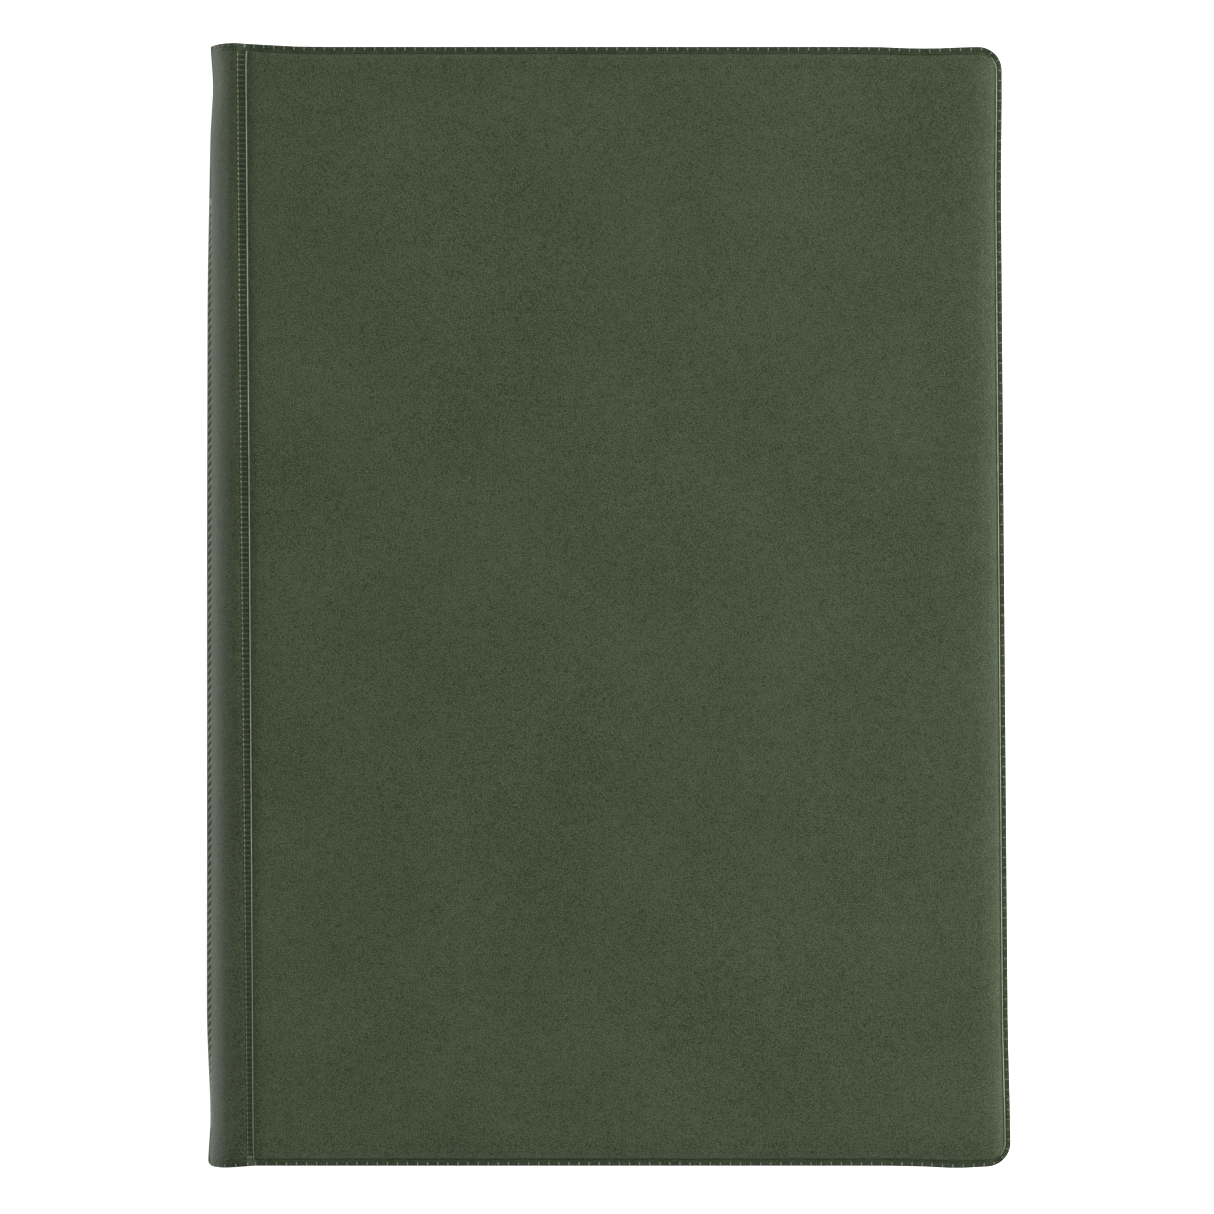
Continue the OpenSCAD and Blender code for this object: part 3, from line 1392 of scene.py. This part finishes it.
        # The ladder rail is pale pressed vinyl; the fore-edge rail is pale only where it faces the
        # right-hand light, a painted highlight.
        fore_rail_highlight = self.front and 1.44 < edge < 1.76 and inward < self.b.half_length - abs(y)
        if (rail or fore_rail_highlight) and outside:
            return 1
        if not self.front:
            return 0
        # Painted shade on the sunk weld band at head and tail.
        if 0.12 < edge < 1.3 and outside and inward > 2.0:
            return 2
        # Painted shade on the ladder's recessed floor between the rails.
        if abs(s - self.ladder) < 0.75 and edge > 2.2:
            return 2
        # Painted light: the lip and its turn are lightened against the shade of the spine panel.
        return 3 if s < self.b.lip_root + 1.8 and self.lip_from < y < self.lip_to else 0

    def build_dressed(self, f: Finishes) -> bpy.types.Object:
        """Make the skin.

        Args:
            f: the album's finishes.

        Returns:
            The finished object.
        """
        sheet = self.flat_sheet()
        for material in (f.vinyl, f.pressed, f.band, f.lip):
            sheet.data.materials.append(material)
        flat = points_of(sheet)
        for face in sheet.data.polygons:
            face.material_index = self.zone(*flat[list(face.vertices)].mean(axis=0))
        # The lip bars carry painted shade; the edge ticks take the lip's pale vinyl, which is
        # lightened against the lip's shade.
        finish = {
            "edge_ticks": f.lip,
            "edge_half_ticks": f.vinyl,
            "ladder_rungs": f.rung,
            "ladder_beads": f.pressed,
            "lip_groove_shade_bars": f.crease,
        }
        marks = self.weld_marks()
        for mark in marks:
            mark.data.materials.append(finish[mark.name.split(".")[0]])
        join(sheet, marks)
        return self.finish(sheet)


# ---------------------------------------------------------------- cloth in the spine


@dataclass
class ClothStrip:
    """A long strip of binding cloth, folded to a line seen from the tail."""

    name: str
    line: np.ndarray
    length: float = 297.0
    thickness: float = 0.3
    lap_from: float = 1e6
    lap_half: float = 0.38
    fine_at: float = 0.0

    def build(self, material: bpy.types.Material) -> bpy.types.Object:
        """Make the strip.

        Args:
            material: the cloth.

        Returns:
            The finished object.
        """
        steps = np.hypot(*np.diff(self.line, axis=0).T)
        along = np.r_[0.0, np.cumsum(steps)]
        width, half = along[-1], self.length / 2
        strip = flat_rectangle(self.name, (0.0, -half), (width, half))
        edit(strip)
        near = (-1.2, -0.8, -0.55, -0.35, -0.15, 0.0, 0.15, 0.35, 0.55, 0.8, 1.2)
        cuts = [self.fine_at + d for d in near] + [self.lap_from - d for d in (0.45, 0.15, 0.0)]
        cuts += list(np.arange(1.0, width, 1.5))
        slice_all(0, [cut for cut in cuts if 0.05 < cut < width - 0.05])
        slice_all(1, np.arange(-half + 9.0, half - 1.0, 9.0))
        done()
        thicken(strip, self.thickness)
        flat = points_of(strip)
        s, y, z = flat.T
        ahead = np.gradient(self.line, axis=0)
        ahead /= np.hypot(*ahead.T)[:, None]
        place = [np.interp(s, along, self.line[:, i]) for i in (0, 1)]
        out = [np.interp(s, along, -ahead[:, 1]), np.interp(s, along, ahead[:, 0])]
        size = np.hypot(*out)
        thin = self.thickness / 2
        lapped = smoothstep(self.lap_from - 0.4, self.lap_from, s)
        half_t = thin + (self.lap_half - thin) * lapped
        off = np.where(z > -thin, half_t, -half_t) / size
        x, up = place[0] + out[0] * off, place[1] + out[1] * off
        set_points(strip, np.column_stack([x, y, up]) * MM)
        remember_flat(strip, flat)
        strip.data.materials.append(material)
        smooth(strip)
        return strip


@dataclass
class StripRows:
    """The rows of clear film on both faces of a leaf's card, in millimetres."""

    leaf: int
    card_x: float
    z: float
    lap: float = 8.0
    height: float = 29.0
    gap: float = 3.0
    width: float = 182.816
    rows: int = 9
    film: float = 0.12
    card: float = 0.5

    def one_strip(self) -> bpy.types.Object:
        """One strip: a folded open edge at its head side, a weld line near its foot."""
        half_w, half_h = self.width / 2, self.height / 2
        strip = flat_rectangle("strip", (-half_w, -half_h), (half_w, half_h))
        edit(strip)
        bpy.ops.mesh.select_mode(type="VERT")
        bpy.ops.mesh.bevel(offset=0.8, segments=3, affect="VERTICES", profile=0.5)
        bpy.ops.mesh.select_mode(type="FACE")
        slice_all(1, [d - half_h for d in (0.45, 0.6, 0.95, 1.1)] + [half_h - 1.15, half_h - 1.0])
        slice_all(0, [0.9 - half_w, 1.05 - half_w, half_w - 1.05, half_w - 0.9])
        done()
        thicken(strip, self.film)
        points = points_of(strip)
        x, y, z = points.T
        hem = smoothstep(half_h - 1.15, half_h - 1.0, y)
        weld = smoothstep(-half_h + 1.05, -half_h + 0.9, y)
        weld += smoothstep(half_w - 1.05, half_w - 0.9, np.abs(x))
        outer = self.film - 0.035 + 0.035 * hem - 0.04 * np.clip(weld, 0, 1)
        face = np.where(z > -self.film / 2, outer, 0.0)
        set_points(strip, np.column_stack([x, y, face]))
        return strip

    def build(self, material: bpy.types.Material) -> bpy.types.Object:
        """Make the strips of both faces.

        Args:
            material: the film.

        Returns:
            The finished object.
        """
        step = self.height + self.gap
        middle = self.card_x + self.lap + self.width / 2
        places = [(middle, (r - (self.rows - 1) / 2) * step, 0.0) for r in range(self.rows)]
        faces = []
        for name, up in ((f"strips_{self.leaf}", 1.0), ("under", -1.0)):
            rows = copies(name, self.one_strip(), places)
            points = points_of(rows)
            points[:, 2] = self.z + up * (self.card / 2 + points[:, 2])
            set_points(rows, points * MM)
            rows.data.materials.append(material)
            if up < 0:
                turn_faces(rows)
            faces.append(rows)
        join(faces[0], faces[1:])
        smooth(faces[0])
        return faces[0]


@dataclass
class LeafBlock:
    """How the leaves hang in the spine, in millimetres."""

    b: Binding
    count: int = 8
    pitch: float = 1.0
    first_z: float = 11.55
    free: float = 3.0
    lap: float = 8.0
    root_margin: float = 4.0
    length: float = 0.297
    cloth_width: float = 0.0133

    @property
    def lean(self) -> float:
        """Slope of the spine, in radians."""
        (fx, fz), (bx, bz) = self.b.front_hinge, self.b.back_hinge
        return math.atan2(fz - bz, fx - bx)

    @property
    def chord(self) -> float:
        """Distance between the two hinges."""
        return math.dist(self.b.front_hinge, self.b.back_hinge)

    def spine_point(self, u: float, n: float) -> tuple[float, float]:
        """A place u along the spine from the back hinge, n inwards."""
        c, s = math.cos(self.lean), math.sin(self.lean)
        bx, bz = self.b.back_hinge
        return bx + u * c + n * s, bz + u * s - n * c

    def fold(self, k: int) -> tuple[float, float]:
        """Where leaf k folds."""
        z = self.first_z - (k - 1) * self.pitch
        tan = math.tan(self.lean / 2)
        if k <= self.count // 2:
            return self.b.front_hinge[0] + (self.b.front_hinge[1] - z) * tan, z
        return self.b.back_hinge[0] + (z - self.b.back_hinge[1]) / tan, z

    def guard_line(self, k: int) -> np.ndarray:
        """The line of leaf k's guard, from its glued root over the fold to the end of its lap."""
        step = (self.chord - 2 * self.root_margin) / (self.count - 1)
        u = self.root_margin + (self.count - k) * step
        root, fold = np.array(self.spine_point(u, -0.35)), np.array(self.fold(k))
        end = fold + (self.free + self.lap, 0.0)
        bend = bezier([fold + (root - fold) * 0.16, fold, fold, fold + (0.7, 0)], 9)
        return np.vstack([root, bend, end])

    def build(self, finish: Finishes) -> None:
        """Make the binding cloth and the guards.

        Args:
            finish: the album's finishes.
        """
        shares = np.linspace(0.06, 0.94, 19)
        arc = self.b.spine_arc(shares, np.full_like(shares, -1.17))
        cloth = ClothStrip("spine_cloth", arc).build(finish.cloth)
        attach(cloth, "spine")
        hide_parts("binding_cloth")
        report(cloth)
        for k in range(1, self.count + 1):
            self.guard(k, finish)
            x, z = self.fold(k)
            strips = StripRows(k, x + self.free, z).build(finish.film)
            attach(strips, f"leaf_{k}")
            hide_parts(f"leaf_{k}_pockets")
            report(strips)

    def guard(self, k: int, finish: Finishes) -> None:
        """Make one leaf's guard.

        Args:
            k: the leaf's number from the front.
            finish: the album's finishes.
        """
        line, fold = self.guard_line(k), np.array(self.fold(k))
        steps = np.hypot(*np.diff(line, axis=0).T)
        width = float(steps.sum())
        at_fold = width - self.free - self.lap
        made = ClothStrip(f"guard_{k}", line, lap_from=at_fold + self.free - 0.05, fine_at=at_fold)
        strip = made.build(finish.cloth)
        way = fold - line[0]
        way = way / np.hypot(*way) + (1.0, 0.0)
        way *= 0.8 / np.hypot(*way)
        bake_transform(strip)
        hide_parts(f"leaf_{k}_guard", *(["guard_stubs"] if k == 1 else []))
        report(strip)


# ---------------------------------------------------------------- the album


@dataclass
class Album:
    """The whole album: sheets over the frame's nodes, some of them on a body."""

    finish: Finishes
    b: Binding = field(default_factory=Binding)

    def build(self) -> None:
        """Make every piece, and put the foams, boards, spine cloth and film strips on their bodies.
        """
        for side in Cover:
            self.cover(side)
        self.spine_card()
        LeafBlock(self.b).build(self.finish)
        self.plain_nodes()

    def over_hinge(self, piece: bpy.types.Object) -> None:
        """Bake a sheet's placement into its mesh.

        Args:
            piece: the sheet.
        """
        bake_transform(piece)

    def cover(self, side: Cover) -> None:
        """Skin, foam, board and lining of one cover.

        Args:
            side: which cover.
        """
        f, name = self.finish, side.value
        skin = CoverSkin(side, self.b).build_dressed(f)
        self.over_hinge(skin)
        extra = ["spine_skin"] if side is Cover.FRONT else []
        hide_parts(f"{name}_skin", f"{name}_hinge_weld", *extra)
        foam = CoverFoam(side, self.b).build(f.foam)
        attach(foam, f"{name}_cover")
        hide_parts(f"{name}_padding")
        board = CoverBoard(side, self.b).build(f.board)
        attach(board, f"{name}_cover")
        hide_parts(f"{name}_board")
        lining = CoverLining(side, self.b).build(f.lining)
        self.over_hinge(lining)
        extra = ["spine_lining"] if side is Cover.FRONT else []
        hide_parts(f"{name}_lining", *extra)
        skin_width(skin)
        skin_width(lining)
        for piece in (skin, foam, board, lining):
            report(piece)

    def spine_card(self) -> None:
        """The stiffener in the spine."""
        card = SpineCard(Cover.FRONT, self.b).build(self.finish.board)
        self.over_hinge(card)
        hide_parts("spine_card")
        report(card)

    def plain_nodes(self) -> None:
        """Dress the frame's own nodes that stay in view."""
        f = self.finish
        dress = {"interleaf": f.glassine, "endpaper": f.endpaper, "_card": f.card}
        for name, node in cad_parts.items():
            for part, material in dress.items():
                if part in name:
                    node.data.materials.clear()
                    node.data.materials.append(material)


def skin_width(piece: bpy.types.Object) -> float:
    """Width of a sheet as it was cut flat.

    Args:
        piece: the sheet.

    Returns:
        The width in metres.
    """
    values = np.empty(len(piece.data.vertices) * 3)
    piece.data.attributes[FLAT].data.foreach_get("vector", values)
    across = values.reshape(-1, 3)[:, 0]
    return float(across.max() - across.min())


def report(piece: bpy.types.Object) -> None:
    """Say what was made.

    Args:
        piece: the object.
    """
    piece.data.calc_loop_triangles()
    log.info("%s: %d triangles", piece.name, len(piece.data.loop_triangles))


@dataclass(frozen=True)
class SoftBox:
    """One square soft light that faces the album."""

    name: str
    place: tuple[float, float, float]
    size: float
    power: float

    def build(self) -> None:
        """Make the lamp."""
        data = bpy.data.lights.new(self.name, "AREA")
        data.size, data.energy = self.size, self.power
        lamp = bpy.data.objects.new(self.name, data)
        lamp.location = self.place
        lamp.rotation_euler = (-Vector(self.place)).to_track_quat("-Z", "Y").to_euler()
        bpy.context.scene.collection.objects.link(lamp)


@dataclass
class Studio:
    """Camera, floor and soft lights, in metres and watts."""

    distance: float = 2.0
    covers: float = 0.3364
    film_width: float = 36.0
    floor_half: float = 3.0
    glow: float = 0.9
    surround: float = 0.34
    boxes: tuple[SoftBox, ...] = (
        SoftBox("top_box", (1.0, 0.3, 1.35), 1.0, 21.8),
        SoftBox("right_box", (1.4, 0.0, 0.45), 0.9, 18.5),
        SoftBox("left_box", (-1.4, -0.1, 0.7), 0.9, 4.6),
    )

    def build(self) -> None:
        """Set up the scene."""
        self.camera()
        self.floor()
        for box in self.boxes:
            box.build()
        self.pale_surround()

    def camera(self) -> None:
        """Look straight down at the middle of the album."""
        data = bpy.data.cameras.new("camera")
        data.sensor_width = self.film_width
        data.lens = self.film_width / self.covers * self.distance
        data.clip_end = 20.0
        eye = bpy.data.objects.new("camera", data)
        eye.location = (0.0, 0.0, self.distance + CAD_BOX[1][2])
        bpy.context.scene.collection.objects.link(eye)
        bpy.context.scene.camera = eye

    def floor(self) -> None:
        """A plain white floor."""
        floor = flat_rectangle("floor", (-self.floor_half,) * 2, (self.floor_half,) * 2)
        g = Graph("white_floor")
        g.dress(Base_Color=(0.9, 0.9, 0.9), Roughness=0.9, Specular_IOR_Level=0.0)
        g.dress(Emission_Color=(1.0, 1.0, 1.0), Emission_Strength=self.glow)
        floor.data.materials.append(g.material)

    def pale_surround(self) -> None:
        """Even light from all round, and plain colours."""
        world = bpy.data.worlds.new("surround")
        world.use_nodes = True
        back = world.node_tree.nodes["Background"]
        back.inputs[0].default_value = (1.0, 1.0, 1.0, 1.0)
        back.inputs[1].default_value = self.surround
        bpy.context.scene.world = world
        bpy.context.scene.view_settings.view_transform = "Standard"


def main() -> None:
    """Build the scene."""
    logging.basicConfig(level=logging.INFO, format="%(message)s")
    Studio().build()
    Album(Finishes()).build()
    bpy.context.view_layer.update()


if __name__ == "__main__":
    main()
